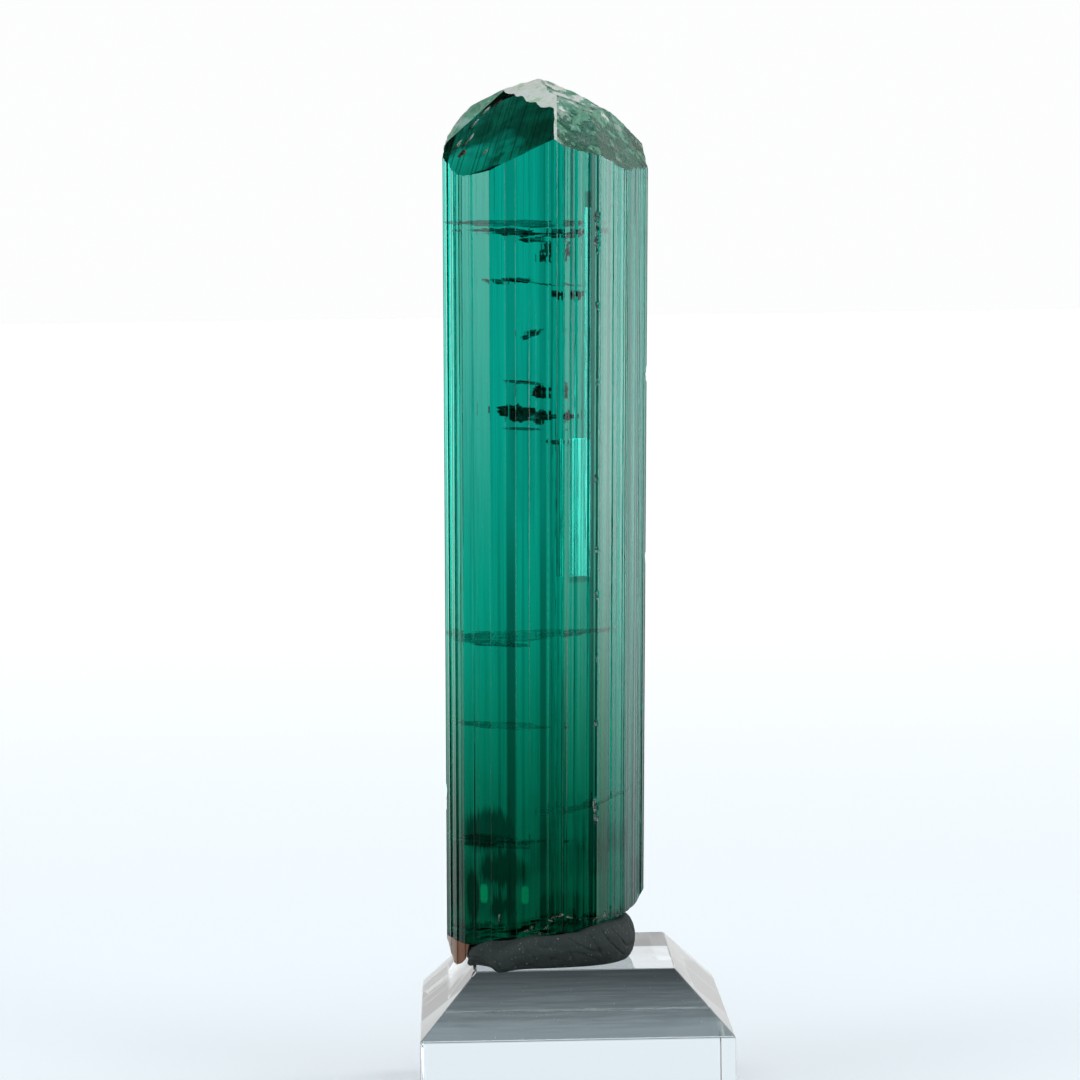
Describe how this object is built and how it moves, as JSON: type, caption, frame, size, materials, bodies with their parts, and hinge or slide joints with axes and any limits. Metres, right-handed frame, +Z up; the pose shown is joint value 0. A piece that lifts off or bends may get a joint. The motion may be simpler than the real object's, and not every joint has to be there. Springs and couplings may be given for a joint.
{
  "type": "tourmaline crystal",
  "caption": "Green tourmaline crystal, a striated prism with a rough pointed top, held upright by mounting putty on a clear bevelled display base.",
  "frame": {"origin": "middle of the underside of the display base", "axes": "+Z up along the crystal, -Y toward the viewer of the crystal's front, +X to that viewer's right"},
  "size_m": [0.0254, 0.0254, 0.0855],
  "materials": {
    "tourmaline": "clear blue-green crystal, glossy striated sides, etched top and rough broken lower end with brown iron stain",
    "mounting_putty": "matte dark grey putty with fine creases",
    "clear_acrylic": "clear polished acrylic with fine scratches on its bevels"
  },
  "bodies": {
    "root": {"crystal": "tourmaline", "putty": "mounting_putty", "display_base": "clear_acrylic"}
  },
  "joints": []
}
